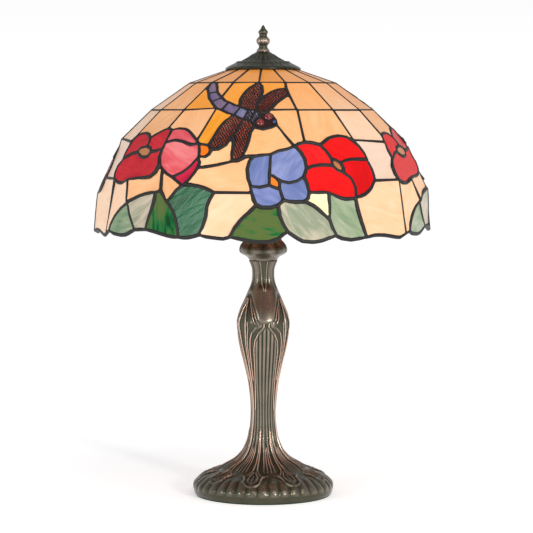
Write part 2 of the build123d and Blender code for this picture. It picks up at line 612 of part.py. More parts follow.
def make_heat_cap():
    """The spun cone over the shade's opening, with its rolled brim."""
    hole = STUD_RADIUS + 2 * CLEARANCE
    under = HEAT_CAP_TOP - HEAT_CAP_SHEET
    return turned((hole, HEAT_CAP_TOP), *HEAT_CAP_OUTSIDE, *HEAT_CAP_BRIM, *HEAT_CAP_INSIDE,
                  (HEAT_CAP_THROAT, under), (hole, under))


def make_finial():
    bore = STUD_RADIUS + CLEARANCE
    socket = ROD_TOP + FINIAL_SOCKET
    return turned(*FINIAL_OUTSIDE, (0, FINIAL_TOP), (0, socket), (bore, socket), (bore, HEAT_CAP_TOP))


def make_eye(plane, point, radius, height):
    """A domed cabochon on the outer face of the dragonfly's head."""
    spot = plane.to_local_coords(dome_point(*point))
    outline = ThreePointArc((-radius, 0, 0), (0, 0, height), (radius, 0, 0))
    half = split(make_face(outline + Line((radius, 0, 0), (-radius, 0, 0))), Plane.YZ)
    return plane * (Pos(spot.X, spot.Y, GLASS / 2 + FOIL) * revolve(half, Axis.Z))


# ---- write every node ---------------------------------------------------------------------------
def write(name, solids):
    if isinstance(solids, list):
        solids = Compound(children=solids) if len(solids) > 1 else solids[0]
    export_step(solids, f"parts/{name}.step")


def main():
    os.makedirs("parts", exist_ok=True)
    write("felt_pad", ring(FELT_RADIUS, 0, 0, FELT))
    write("bottom_plate", ring(PLATE_RADIUS, 0, FELT, FELT + PLATE))
    for name, casting in zip(("base_foot", "base_column", "base_neck"), make_base_castings()):
        write(name, casting)
    write("base_weight", make_base_weight())
    write("stem_tube", ring(STEM_RADIUS, STEM_BORE, STEM_LOW, STEM_HIGH))
    nut_top = COUNTERBORE_TOP - WASHER
    write("stem_washer", ring(WASHER_RADIUS, STEM_RADIUS, nut_top, COUNTERBORE_TOP))
    write("stem_nut", hex_nut(NUT_ACROSS, STEM_RADIUS, nut_top - NUT_HEIGHT, nut_top))
    write("cable_bush", make_cable_bush())
    write("neck_collar", make_neck_collar())
    write("stem_sleeve", ring(SLEEVE_RADIUS, STEM_HOLE, COLLAR_TOP, CLUSTER_LOW))
    write("cluster_body", make_cluster_body())
    for side, name in ((-1, "left"), (1, "right")):
        write(f"lamp_arm_{name}", make_lamp_arm(side))
        write(f"lamp_shell_{name}", make_lamp_shell(side))
        write(f"lamp_insert_{name}", make_lamp_insert(side))
        write(f"lamp_contact_{name}", make_contact(side))
        write(f"thread_sleeve_{name}", make_thread_sleeve(side))
        write(f"bulb_cap_{name}", make_bulb_cap(side))
        write(f"bulb_globe_{name}", make_bulb_globe(side))
    write("shade_rod", make_shade_rod())
    write("rod_nut", hex_nut(ROD_NUT_ACROSS, ROD_RADIUS, ROD_SHOULDER - ROD_NUT_HEIGHT, ROD_SHOULDER))
    write("shade_wheel", make_shade_wheel())
    write("top_ring", make_top_ring())
    write("heat_cap", make_heat_cap())
    write("finial", make_finial())

    nodes, frames, planes = make_shade_glass()
    for name, panes in nodes.items():
        write(name, three_times(panes))
    write("foil_lattice", three_times(frames))
    head = planes[PANES["dragonfly_heads"][0]]
    write("dragonfly_eyes", three_times([make_eye(head, point, EYE_RADIUS, EYE_HEIGHT) for point in EYES]))
    write("dragonfly_beads", three_times([make_eye(head, BEAD, BEAD_RADIUS, BEAD_HEIGHT)]))


main()
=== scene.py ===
"""Stained glass table lamp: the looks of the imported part, its camera and its light."""

import math

import bmesh
import bpy
import numpy as np
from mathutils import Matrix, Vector
from mathutils.geometry import delaunay_2d_cdt


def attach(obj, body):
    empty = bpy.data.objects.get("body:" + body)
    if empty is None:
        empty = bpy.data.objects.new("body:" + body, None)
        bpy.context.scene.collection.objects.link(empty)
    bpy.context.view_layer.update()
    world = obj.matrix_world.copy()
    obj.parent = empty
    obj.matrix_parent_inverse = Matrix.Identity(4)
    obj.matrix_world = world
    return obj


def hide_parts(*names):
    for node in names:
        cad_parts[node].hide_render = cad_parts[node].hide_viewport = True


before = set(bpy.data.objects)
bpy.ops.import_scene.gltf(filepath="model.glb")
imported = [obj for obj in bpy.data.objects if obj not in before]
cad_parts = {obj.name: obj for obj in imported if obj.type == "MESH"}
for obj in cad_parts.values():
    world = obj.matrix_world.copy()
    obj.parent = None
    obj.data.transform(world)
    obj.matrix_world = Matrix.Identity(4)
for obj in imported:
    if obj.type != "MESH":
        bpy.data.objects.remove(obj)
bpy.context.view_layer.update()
MM = 0.001


# ---- camera, light and floor --------------------------------------------------------------------
CAMERA_PLACE = (0.004, -2.70, 0.464)
CAMERA_PITCH = 4.0            # degrees down
CAMERA_LENS = 152.2
CAMERA_SENSOR = 36

# Each light: name, kind, place, power, size (a sun's is an angle, a softbox's a diameter), colour.
LIGHTS = [
    ("key_light", "SUN", (0.9, -1.7, 2.6), 0.58, 0.7, (1, 0.99, 0.97)),
    ("left_softbox", "AREA", (-1.7, -1.5, 0.8), 9, 0.35, (0.92, 0.96, 1)),
    ("right_softbox", "AREA", (1.35, -2.4, 0.9), 25, 0.3, (1, 0.98, 0.95)),
]
LIGHTS_AIM = (0, 0, 0.3)
# Sky colours by the upward part of the direction.
SKY_STOPS = [(0.03, (1, 1, 1, 1)), (0.45, (0.5, 0.5, 0.51, 1))]
FLOOR_HALF = 60.0
FLOOR_COLOUR = (0.93, 0.93, 0.93, 1)
FLOOR_ROUGHNESS, FLOOR_SPECULAR, FLOOR_GLOW = 0.9, 0.2, 0.38


def make_camera():
    data = bpy.data.cameras.new("camera")
    data.lens = CAMERA_LENS
    data.sensor_width = CAMERA_SENSOR
    camera = bpy.data.objects.new("camera", data)
    camera.location = CAMERA_PLACE
    camera.rotation_euler = (math.radians(90 - CAMERA_PITCH), 0, 0)
    bpy.context.scene.collection.objects.link(camera)
    bpy.context.scene.camera = camera


def make_light(name, kind, place, power, size, colour):
    """A sun or a round softbox, aimed at the lamp."""
    data = bpy.data.lights.new(name, kind)
    data.energy = power
    data.color = colour
    if kind == "SUN":
        data.angle = size
    else:
        data.shape = "DISK"
        data.size = size
    light = bpy.data.objects.new(name, data)
    light.location = place
    light.rotation_mode = "QUATERNION"
    light.rotation_quaternion = (Vector(LIGHTS_AIM) - Vector(place)).to_track_quat("-Z", "Y")
    bpy.context.scene.collection.objects.link(light)


def make_sky():
    """A sky that is white at the horizon and greyer above."""
    world = bpy.data.worlds.new("sky")
    world.use_nodes = True
    tree = world.node_tree
    place = tree.nodes.new("ShaderNodeTexCoord")
    parts = tree.nodes.new("ShaderNodeSeparateXYZ")
    ramp = tree.nodes.new("ShaderNodeValToRGB")
    tree.links.new(place.outputs["Generated"], parts.inputs[0])
    tree.links.new(parts.outputs["Z"], ramp.inputs["Fac"])
    tree.links.new(ramp.outputs["Color"], tree.nodes["Background"].inputs["Color"])
    for element, (position, colour) in zip(ramp.color_ramp.elements, SKY_STOPS):
        element.position = position
        element.color = colour
    bpy.context.scene.world = world
    bpy.context.scene.view_settings.view_transform = "Standard"


def make_floor():
    """Pale paper that glows a little, so that it stays white like the photograph's ground."""
    mesh = bpy.data.meshes.new("floor")
    half = FLOOR_HALF
    mesh.from_pydata([(-half, -half, 0), (half, -half, 0), (half, half, 0), (-half, half, 0)], [],
                     [(0, 1, 2, 3)])
    floor = bpy.data.objects.new("floor", mesh)
    bpy.context.scene.collection.objects.link(floor)
    material = bpy.data.materials.new("floor_paper")
    material.use_nodes = True
    shader = material.node_tree.nodes["Principled BSDF"]
    shader.inputs["Base Color"].default_value = FLOOR_COLOUR
    shader.inputs["Roughness"].default_value = FLOOR_ROUGHNESS
    shader.inputs["Specular IOR Level"].default_value = FLOOR_SPECULAR
    shader.inputs["Emission Color"].default_value = (1, 1, 1, 1)
    shader.inputs["Emission Strength"].default_value = FLOOR_GLOW
    mesh.materials.append(material)


# ---- helpers for materials ----------------------------------------------------------------------
class Shader:
    """A new material with short ways to add and join nodes."""

    def __init__(self, name, roughness=0.5, metallic=0.0):
        self.material = bpy.data.materials.new(name)
        self.material.use_nodes = True
        self.tree = self.material.node_tree
        self.surface = self.tree.nodes["Principled BSDF"]
        self.surface.inputs["Roughness"].default_value = roughness
        self.surface.inputs["Metallic"].default_value = metallic

    def node(self, kind, **settings):
        made = self.tree.nodes.new(kind)
        for key, value in settings.items():
            setattr(made, key, value)
        return made

    def join(self, output, target):
        self.tree.links.new(output, target)

    def fill(self, socket, value):
        """Joins an output to a socket, or sets a plain value on it."""
        if isinstance(value, (int, float, tuple)):
            socket.default_value = value
        else:
            self.join(value, socket)

    def maths(self, operation, a, b):
        made = self.node("ShaderNodeMath", operation=operation)
        self.fill(made.inputs[0], a)
        self.fill(made.inputs[1], b)
        return made.outputs[0]

    def centred(self, value, strength):
        """A value that runs from 0 to 1, centred on 0 and scaled."""
        return self.maths("MULTIPLY", self.maths("SUBTRACT", value, 0.5), strength)

    def stretched(self, place, scale):
        """A place scaled by a different number in each direction."""
        made = self.node("ShaderNodeVectorMath", operation="MULTIPLY")
        self.join(place, made.inputs[0])
        made.inputs[1].default_value = scale
        return made.outputs[0]

    def place(self):
        """The place on the piece, in metres."""
        return self.node("ShaderNodeTexCoord").outputs["Object"]

    def noise(self, place, scale, detail=2.0, distortion=0.0):
        made = self.node("ShaderNodeTexNoise")
        self.join(place, made.inputs["Vector"])
        made.inputs["Scale"].default_value = scale
        made.inputs["Detail"].default_value = detail
        made.inputs["Distortion"].default_value = distortion
        return made.outputs["Fac"]

    def ramp(self, value, stops):
        """Colours along a value; stops are (position, colour)."""
        made = self.node("ShaderNodeValToRGB")
        self.join(value, made.inputs["Fac"])
        elements = made.color_ramp.elements
        while len(elements) < len(stops):
            elements.new(0.5)
        for element, (position, colour) in zip(elements, stops):
            element.position = position
            element.color = (*colour, 1)
        return made.outputs["Color"]

    def mix(self, factor, a, colour):
        """A colour output blended towards a plain colour."""
        made = self.node("ShaderNodeMix", data_type="RGBA")
        self.join(factor, made.inputs["Factor"])
        self.join(a, made.inputs["A"])
        made.inputs["B"].default_value = (*colour, 1)
        return made.outputs["Result"]

    def bump(self, height, strength, distance):
        made = self.node("ShaderNodeBump")
        self.join(height, made.inputs["Height"])
        made.inputs["Strength"].default_value = strength
        made.inputs["Distance"].default_value = distance
        self.join(made.outputs["Normal"], self.surface.inputs["Normal"])


def rgb(code):
    """The linear colour of a hex code."""
    values = [int(code[i:i + 2], 16) / 255 for i in (0, 2, 4)]
    return tuple(v / 12.92 if v <= 0.04045 else ((v + 0.055) / 1.055) ** 2.4 for v in values)


def wear(piece, material):
    """Gives a piece its material."""
    piece.data.materials.clear()
    piece.data.materials.append(material)


# ---- art glass ----------------------------------------------------------------------------------
# Each kind: its dark, middle and light colour, how strong its streaks are, and the turn in degrees
# of its streaks from the pane's length.
GLASS_KINDS = {
    "ground_cream": ("ECB98B", "F5C9A2", "F8D5B9", 0.5, 0),
    "ground_peach": ("EAA875", "F4B783", "F8C697", 0.5, 0),
    "ground_amber": ("E48B1E", "F09B2E", "F7AD46", 0.6, 0),
    "ground_honey": ("EEAB6E", "F5B77F", "F8C293", 0.6, 0),
    "ground_rose_white": ("DFBEA6", "E7C8B2", "ECD1BF", 0.4, 0),
    "ground_straw": ("F7E3AB", "F9EBBE", "F7EB95", 0.5, 0),
    "poppy_petals": ("C80E12", "DC0F14", "E41C1A", 0.5, 20),
    "small_poppy_petals": ("9B1124", "BA1C2A", "CE2A34", 0.7, 20),
    "poppy_centres": ("A76841", "B4754C", "C48C62", 0.4, 0),
    "bud_petals": ("CC4453", "DD5A62", "E57F80", 0.8, 25),
    "bud_folds": ("B01638", "C82644", "D63C56", 0.6, 15),
    "bud_sepals": ("E76C0F", "ED771A", "EF8F38", 0.4, 0),
    "blue_petals": ("546797", "6E7AAC", "8890BD", 0.7, 20),
    "dark_leaves": ("00441C", "005026", "04582C", 0.8, 35),
    "mottled_leaves": ("003A19", "166631", "546634", 2.0, 15),
    "grey_leaves": ("899178", "B2A992", "C8B8A5", 1.3, 10),
    "pale_leaves": ("688464", "8A9B7B", "A7AE95", 1.1, 0),
    "dragonfly_tails": ("585480", "6E6084", "886E82", 0.8, 0),
    "dragonfly_bodies": ("686A94", "837B9A", "A190A7", 0.8, 0),
    "dragonfly_wings": ("8D2B22", "AD4533", "C96D4F", 1.0, 0),
    "dragonfly_heads": ("1C1210", "2A1A18", "3C2624", 0.3, 0),
}
RED_POPPY = ("BE0C10", "D01216", "DC221E", 0.5, 20)
GLASS_THICKNESS = 3.0 * MM
GLASS_ROUGHNESS, GLASS_SPECULAR = 0.2, 0.12
# Noise is drawn by the distance across and along the streaks, per metre, and by pane.
STREAK_SCALE, CLOUD_SCALE, RIPPLE_SCALE = (85.0, 20.0, 1.0), (26.0, 18.0, 1.0), (130.0, 40.0, 1.0)
STREAK_SHARE, CLOUD_SHARE, PANE_SHARE = 1.3, 0.9, 0.3
PANE_SPREAD = 40              # how far apart the panes may lie in the noise
GLASS_STOPS = (0.2, 0.5, 0.8)
# Painted glow of the bulbs' light: the ground grows more amber towards the top of the shade,
# between these heights.
PAINTED_GLOW_COLOUR = "F8A04C"
PAINTED_GLOW_LOW, PAINTED_GLOW_HIGH = 0.45, 0.50
PAINTED_GLOW_SHARE = 0.7


def art_glass(name, dark, middle, light, streaks):
    """Streaky opalescent glass, drawn in the flat coordinates stored on each pane."""
    s = Shader(name, roughness=GLASS_ROUGHNESS)
    place = s.node("ShaderNodeAttribute", attribute_name="pane_place").outputs["Vector"]
    chance = s.node("ShaderNodeAttribute", attribute_name="pane_chance").outputs["Fac"]
    streak = s.noise(s.stretched(place, STREAK_SCALE), 1.0, detail=5.0, distortion=1.4)
    cloud = s.noise(s.stretched(place, CLOUD_SCALE), 1.0, distortion=0.4)
    value = s.maths("ADD", s.centred(streak, STREAK_SHARE * streaks),
                    s.centred(cloud, CLOUD_SHARE * streaks))
    value = s.maths("ADD", value, s.centred(chance, PANE_SHARE))
    tones = [rgb(code) for code in (dark, middle, light)]
    colour = s.ramp(s.maths("ADD", value, 0.5), list(zip(GLASS_STOPS, tones)))
    # Painted glow: amber over the ground glass near the top of the shade, where the bulbs' light
    # shows through.
    if name.startswith("ground"):
        height = s.node("ShaderNodeSeparateXYZ")
        s.join(s.place(), height.inputs[0])
        painted_glow = s.node("ShaderNodeMapRange")
        s.join(height.outputs["Z"], painted_glow.inputs["Value"])
        painted_glow.inputs["From Min"].default_value = PAINTED_GLOW_LOW
        painted_glow.inputs["From Max"].default_value = PAINTED_GLOW_HIGH
        painted_glow.inputs["To Max"].default_value = PAINTED_GLOW_SHARE
        colour = s.mix(painted_glow.outputs["Result"], colour, rgb(PAINTED_GLOW_COLOUR))
    s.join(colour, s.surface.inputs["Base Color"])
    s.surface.inputs["Specular IOR Level"].default_value = GLASS_SPECULAR
    ripple = s.noise(s.stretched(place, RIPPLE_SCALE), 1.0, distortion=0.5)
    s.bump(ripple, strength=0.25, distance=1.2 * MM)
    return s.material


# ---- metals and small parts ---------------------------------------------------------------------
# The patina's colour with painted shade and painted highlight, from the creases, 0, to the most
# rubbed ridges, 1.
PATINA_AND_SHADE_STOPS = [(0.0, "2E3023"), (0.3, "525142"), (0.62, "8C8074"), (0.9, "DCB6A2")]
PATINA_ROUGHNESS, PATINA_METALLIC = 0.27, 0.78
PATINA_PATCHES = 0.35


def patina_and_shade_metal(name):
    """Cast bronze finish: dark olive hollows, mauve-grey slopes and copper-pink rubbed ridges, with
    painted shade in the hollows and painted highlight on the ridges.
    """
    s = Shader(name, PATINA_ROUGHNESS, PATINA_METALLIC)
    place = s.place()
    relief = s.node("ShaderNodeAttribute", attribute_name="relief").outputs["Fac"]
    patch = s.noise(place, 38.0, detail=5.0, distortion=0.5)
    # The tone: patina with painted shade in the creases and painted highlight on the ridges, plus
    # random patches.
    wear_and_shade = s.maths("ADD", relief, s.centred(patch, PATINA_PATCHES))
    colour = s.ramp(wear_and_shade, [(stop, rgb(code)) for stop, code in PATINA_AND_SHADE_STOPS])
    s.join(colour, s.surface.inputs["Base Color"])
    s.bump(s.noise(place, 900.0, detail=3.0), strength=0.15, distance=0.3 * MM)
    return s.material


def plain_metal(name, colour, edge, roughness, metallic=1.0, grain_scale=500.0):
    """A metal with a fine grain and slow patches of tone."""
    s = Shader(name, roughness, metallic)
    place = s.place()
    tone = s.ramp(s.noise(place, 45.0, detail=4.0), [(0.35, rgb(colour)), (0.7, rgb(edge))])
    s.join(tone, s.surface.inputs["Base Color"])
    s.bump(s.noise(place, grain_scale), strength=0.12, distance=0.2 * MM)
    return s.material


def glossy(name, colour, edge, roughness, coat=0.6, glow=0.0):
    """A glossy, slightly uneven colour, for cabochons, beads, ceramic and opal glass."""
    s = Shader(name, roughness)
    shade = s.ramp(s.noise(s.place(), 160.0), [(0.3, rgb(colour)), (0.7, rgb(edge))])
    s.join(shade, s.surface.inputs["Base Color"])
    s.surface.inputs["Coat Weight"].default_value = coat
    if glow:
        s.join(shade, s.surface.inputs["Emission Color"])
        s.surface.inputs["Emission Strength"].default_value = glow
    return s.material


def felt():
    """Green felt with short fibres."""
    s = Shader("felt", roughness=0.95)
    fibre = s.noise(s.place(), 1400.0, detail=4.0, distortion=1.0)
    tone = s.ramp(fibre, [(0.3, rgb("16301F")), (0.7, rgb("2A4C34"))])
    s.join(tone, s.surface.inputs["Base Color"])
    s.bump(fibre, strength=0.5, distance=0.4 * MM)
    return s.material


# ---- mesh helpers -------------------------------------------------------------------------------
def new_piece(name, mesh, body):
    """A new object for a mesh, that rides on a body."""
    piece = bpy.data.objects.new(name, mesh)
    bpy.context.scene.collection.objects.link(piece)
    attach(piece, body)
    return piece


def make_mesh(name, vertices, faces, smooth=True):
    """A mesh whose faces are all smooth or all flat."""
    mesh = bpy.data.meshes.new(name)
    mesh.from_pydata([tuple(v) for v in vertices], [], faces)
    mesh.polygons.foreach_set("use_smooth", [smooth] * len(mesh.polygons))
    return mesh


def grid_faces(rows, columns):
    """Faces of a grid whose columns run round and close."""
    index = np.arange(rows * columns).reshape(rows, columns)
    following = np.roll(index, -1, axis=1)
    corners = [index[:-1], following[:-1], following[1:], index[1:]]
    return np.stack(corners, axis=-1).reshape(-1, 4).tolist()


def float_attribute(mesh, name, values):
    flat = np.asarray(values, dtype=np.float32).ravel()
    mesh.attributes.new(name, "FLOAT", "POINT").data.foreach_set("value", flat)


def vector_attribute(mesh, name, values):
    flat = np.asarray(values, dtype=np.float32).ravel()
    mesh.attributes.new(name, "FLOAT_VECTOR", "POINT").data.foreach_set("vector", flat)


# ---- panes read from the CAD solids -------------------------------------------------------------
MITRE_LIMIT = 1.8             # a sharp corner moves at most this many times the distance


class Pane:
    """A flat solid: the outline of its outer face, counter-clockwise seen from outside."""

    def __init__(self, faces):
        points = np.array([tuple(v.co) for face in faces for v in face.verts])
        middle = points.mean(axis=0)
        normal = Vector(np.linalg.svd(points - middle)[2][2])
        if normal.dot(Vector((middle[0], middle[1], 0.1))) < 0:
            normal.negate()
        self.normal = normal
        self.outline = longest_loop([face for face in faces if face.normal.dot(normal) > 0.99])
        self.across = normal.cross(Vector((0, 0, 1))).normalized()
        self.along = normal.cross(self.across)
        flat = self.flat(self.outline)
        following = np.roll(flat, -1, axis=0)
        cross = flat[:, 0] * following[:, 1] - following[:, 0] * flat[:, 1]
        area = cross.sum() / 2
        centre = ((flat + following) * cross[:, None]).sum(axis=0) / (6 * area)
        if area < 0:
            self.outline.reverse()
        depth = self.outline[0].dot(normal)
        self.centre = self.across * centre[0] + self.along * centre[1] + normal * depth
        longest = np.linalg.svd(flat - centre)[2][0]
        self.angle = math.atan2(longest[0], longest[1])

    def flat(self, points):
        """Points in the pane's own two directions."""
        return np.array([(point.dot(self.across), point.dot(self.along)) for point in points])

    def grown(self, distance):
        """The outline moved outward in its plane."""
        count = len(self.outline)
        moved = []
        for i, point in enumerate(self.outline):
            before = (point - self.outline[i - 1]).normalized().cross(self.normal)
            after = (self.outline[(i + 1) % count] - point).normalized().cross(self.normal)
            middle = (before + after).normalized()
            mitre = min(MITRE_LIMIT, 1 / max(0.3, middle.dot(after)))
            moved.append(point + middle * distance * mitre)
        return moved


def longest_loop(faces):
    """The longest closed line of points round a flat group of faces."""
    inside = set(faces)
    following = {}
    for face in faces:
        for loop in face.loops:
            if sum(other in inside for other in loop.edge.link_faces) == 1:
                following[loop.vert] = loop.link_loop_next.vert
    loops = []
    while following:
        start = next(iter(following))
        points = []
        here = start
        while here in following:
            points.append(here.co.copy())
            here = following.pop(here)
        loops.append(points)
    return max(loops, key=lambda points: sum((a - b).length for a, b in zip(points, points[1:])))


def read_panes(node):
    """Every separate solid of a CAD node, as a pane."""
    bm = bmesh.new()
    bm.from_mesh(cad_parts[node].data)
    bmesh.ops.remove_doubles(bm, verts=bm.verts, dist=1e-6)
    bm.normal_update()
    seen, panes = set(), []
    for first in bm.faces:
        if first in seen:
            continue
        seen.add(first)
        group, stack = [], [first]
        while stack:
            face = stack.pop()
            group.append(face)
            for edge in face.edges:
                for other in edge.link_faces:
                    if other not in seen:
                        seen.add(other)
                        stack.append(other)
        panes.append(Pane(group))
    bm.free()
    return panes


# ---- glass --------------------------------------------------------------------------------------
GROUND_GROWTH = 0.5 * MM      # ground glass runs this far further under the thinner solder lines
STREAK_SPREAD = 0.5           # radians between the streaks' most different turns in one kind
RED_POPPIES = (30, 120)       # degrees round the shade, from the front, where they are brighter


def degrees_round(point):
    """How far round the lamp a point is, from the front towards the viewer's right."""
    return math.degrees(math.atan2(point.x, -point.y))


def make_glass_piece(name, panes, growth, turn, chances):
    """The glass of these panes: flat plates that carry their own flat coordinates."""
    vertices, faces, places, seeds = [], [], [], []
    for pane in panes:
        outline = pane.grown(growth)
        count = len(outline)
        start = len(vertices)
        seed = chances.random()
        angle = pane.angle + math.radians(turn) + (chances.random() - 0.5) * STREAK_SPREAD
        cosine, sine = math.cos(angle), math.sin(angle)
        for depth in (0.0, GLASS_THICKNESS):
            for point in outline:
                vertices.append(point - pane.normal * depth)
                x, y = point.dot(pane.across), point.dot(pane.along)
                places.append((x * cosine - y * sine, x * sine + y * cosine, seed * PANE_SPREAD))
                seeds.append(seed)
        faces.append([start + i for i in range(count)])
        faces.append([start + count + i for i in reversed(range(count))])
        for i in range(count):
            j = (i + 1) % count
            faces.append([start + i, start + count + i, start + count + j, start + j])
    mesh = make_mesh(name, vertices, faces, smooth=False)
    vector_attribute(mesh, "pane_place", places)
    float_attribute(mesh, "pane_chance", seeds)
    return new_piece(name, mesh, "shade")


def make_glass():
    """Every pane in its own glass; returns the panes by kind."""
    chances = np.random.default_rng(7)
    panes = {kind: read_panes(kind) for kind in GLASS_KINDS}
    for kind, recipe in GLASS_KINDS.items():
        growth = GROUND_GROWTH if kind.startswith("ground") else 0.0
        looks = [(kind, panes[kind], recipe)]
        if kind == "small_poppy_petals":
            first, last = RED_POPPIES
            red = [pane for pane in panes[kind] if first < degrees_round(pane.centre) < last]
            rest = [pane for pane in panes[kind] if pane not in red]
            looks = [(kind, rest, recipe), ("red_poppy_petals", red, RED_POPPY)]
        for name, group, (dark, middle, light, streaks, turn) in looks:
            piece = make_glass_piece(name + "_glass", group, growth, turn, chances)
            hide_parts(kind)
            wear(piece, art_glass(name, dark, middle, light, streaks))
    return panes


# ---- solder -------------------------------------------------------------------------------------
SEAM_GAP = 0.8 * MM           # from a foil frame's outside to the middle of its seam
FOIL_PROUD = 1.9 * MM         # from the foil's outer face to the middle of the glass
THIN_BEAD, THICK_BEAD = 2.6 * MM, 2.7 * MM
BEAD_HALF_HEIGHT = 2.25 * MM
BEAD_SQUARENESS = 0.8         # 1 is an oval bead, less is squarer
BEAD_SIDES = 10
LATTICE_PARTS = 3
VOXEL = 0.85 * MM


def bead_section(half_width):
    """A squarish oval: (outward from the pane, outward from the shade) points."""
    section = []
    for i in range(BEAD_SIDES):
        cosine = math.cos(2 * math.pi * i / BEAD_SIDES)
        sine = math.sin(2 * math.pi * i / BEAD_SIDES)
        x = math.copysign(abs(cosine) ** BEAD_SQUARENESS, cosine) * half_width
        section.append((x, sine * BEAD_HALF_HEIGHT))
    return section


def add_bead(vertices, faces, foil, half_width):
    """A closed bead of solder along the seam round one pane's foil."""
    start = len(vertices)
    inner = foil.grown(0)
    section = bead_section(half_width)
    for near, far in zip(inner, foil.grown(SEAM_GAP)):
        out = (far - near).normalized()
        middle = far - foil.normal * FOIL_PROUD
        vertices.extend(middle + out * x + foil.normal * y for x, y in section)
    count = len(inner)
    for i in range(count):
        a, b = start + i * BEAD_SIDES, start + (i + 1) % count * BEAD_SIDES
        for j in range(BEAD_SIDES):
            k = (j + 1) % BEAD_SIDES
            faces.append((a + j, a + k, b + k, b + j))


def melted(name, vertices, faces):
    """The beads joined into one smooth mesh where they meet."""
    rings = bpy.data.objects.new(name, make_mesh(name, vertices, faces))
    bpy.context.scene.collection.objects.link(rings)
    melt = rings.modifiers.new("melt", "REMESH")
    melt.mode = "VOXEL"
    melt.voxel_size = VOXEL
    even = rings.modifiers.new("even", "SMOOTH")
    even.factor = 0.5
    even.iterations = 2
    graph = bpy.context.evaluated_depsgraph_get()
    mesh = bpy.data.meshes.new_from_object(rings.evaluated_get(graph))
    bpy.data.objects.remove(rings)
    mesh.polygons.foreach_set("use_smooth", [True] * len(mesh.polygons))
    return mesh


def make_lattice(panes):
    """The solder lines: one bead round each pane, melted together with its neighbours'."""
    centres = [(pane.centre, kind) for kind, group in panes.items() for pane in group]
    parts = [([], []) for _ in range(LATTICE_PARTS)]
    for foil in read_panes("foil_lattice"):
        kind = min(centres, key=lambda item: (item[0] - foil.centre).length)[1]
        part = int(degrees_round(foil.centre) % 360 / 360 * LATTICE_PARTS)
        add_bead(*parts[part], foil, THIN_BEAD if kind.startswith("ground") else THICK_BEAD)
    metal = plain_metal("solder", "070605", "15110D", 0.5, metallic=0.15, grain_scale=700.0)
    for number, (vertices, faces) in enumerate(parts, start=1):
        mesh = melted(f"solder_rings_{number}", vertices, faces)
        mesh.name = f"solder_lattice_{number}"
        piece = new_piece(mesh.name, mesh, "shade")
        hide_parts("foil_lattice")
        wear(piece, metal)


# ---- dragonfly lace -----------------------------------------------------------------------------
LACE_CELL = 3.2 * MM
LACE_ROW = 0.87 * LACE_CELL   # cells of one row lie between those of the next
LACE_UNEVENNESS = 0.55        # the width of the area where a cell's middle may be, in cells
LACE_WIRE = 0.75 * MM
LACE_LIFT = 0.1 * MM
LACED_BODY_PANES = 2          # for each dragonfly, the ones nearest its head


def inside_polygon(flat, x, y):
    """Whether a point is inside a flat outline, by the edges crossed on the way out."""
    inside = False
    for (xa, ya), (xb, yb) in zip(flat, np.roll(flat, -1, axis=0)):
        if (ya > y) != (yb > y) and x < xa + (y - ya) / (yb - ya) * (xb - xa):
            inside = not inside
    return inside


def lace_lines(flat, chances):
    """Short lines between uneven cells that fill a flat outline."""
    low, high = flat.min(axis=0) - 2 * LACE_CELL, flat.max(axis=0) + 2 * LACE_CELL
    seeds = []
    for row, y in enumerate(np.arange(low[1], high[1], LACE_ROW)):
        for x in np.arange(low[0] + (row % 2) * LACE_CELL / 2, high[0], LACE_CELL):
            shift = (chances.random(2) - 0.5) * LACE_CELL * LACE_UNEVENNESS
            seeds.append(Vector((x + shift[0], y + shift[1])))
    points, _, triangles, *_ = delaunay_2d_cdt(seeds, [], [], 0, 1e-7)
    middles, by_edge = [], {}
    for index, (a, b, c) in enumerate(triangles):
        middles.append((points[a] + points[b] + points[c]) / 3)
        for edge in ((a, b), (b, c), (c, a)):
            by_edge.setdefault(tuple(sorted(edge)), []).append(index)
    lines = []
    for pair in by_edge.values():
        if len(pair) < 2:
            continue
        a, b = middles[pair[0]], middles[pair[1]]
        if inside_polygon(flat, *a) or inside_polygon(flat, *b):
            if not inside_polygon(flat, *a):
                a = a.lerp(b, 0.5)
            if not inside_polygon(flat, *b):
                b = b.lerp(a, 0.5)
            lines.append((a, b))
    return lines


def add_wire(vertices, faces, start, end, normal, radius):
    """A four-sided wire from start to end, half sunk in the surface."""
    side = (end - start).normalized().cross(normal) * radius
    up = normal * radius
    first = len(vertices)
    for point in (start, end):
        vertices.extend([point - side, point + up, point + side, point - up])
    for j in range(4):
        k = (j + 1) % 4
        faces.append((first + j, first + k, first + 4 + k, first + 4 + j))
    faces.append((first + 3, first + 2, first + 1, first))
    faces.append((first + 4, first + 5, first + 6, first + 7))


def make_lace(panes):
    """Dark wire lace over the wings and the thorax."""
    chances = np.random.default_rng(11)
    vertices, faces = [], []
    heads = [pane.centre for pane in panes["dragonfly_heads"]]
    bodies = sorted(panes["dragonfly_bodies"],
                    key=lambda pane: min((pane.centre - head).length for head in heads))
    for pane in panes["dragonfly_wings"] + bodies[:LACED_BODY_PANES * len(heads)]:
        flat = pane.flat(pane.outline)
        origin = pane.normal * (pane.outline[0].dot(pane.normal) + LACE_LIFT)
        for a, b in lace_lines(flat, chances):
            start, end = (origin + pane.across * p.x + pane.along * p.y for p in (a, b))
            if (end - start).length > LACE_WIRE:
                add_wire(vertices, faces, start, end, pane.normal, LACE_WIRE)
    mesh = make_mesh("dragonfly_lace", vertices, faces, smooth=False)
    metal = plain_metal("lace_patina", "120C0A", "2A1712", 0.38, metallic=0.5, grain_scale=900.0)
    piece = new_piece("dragonfly_lace", mesh, "shade")
    wear(piece, metal)


# ---- turned and cast pieces ---------------------------------------------------------------------
# Profiles are (radius, height) points in mm; reliefs are heights in mm above them, one row for
# each point along a smoothed profile and one column for each step round it.
CURVE_POINTS = 25             # on the smooth curve between two points of a profile


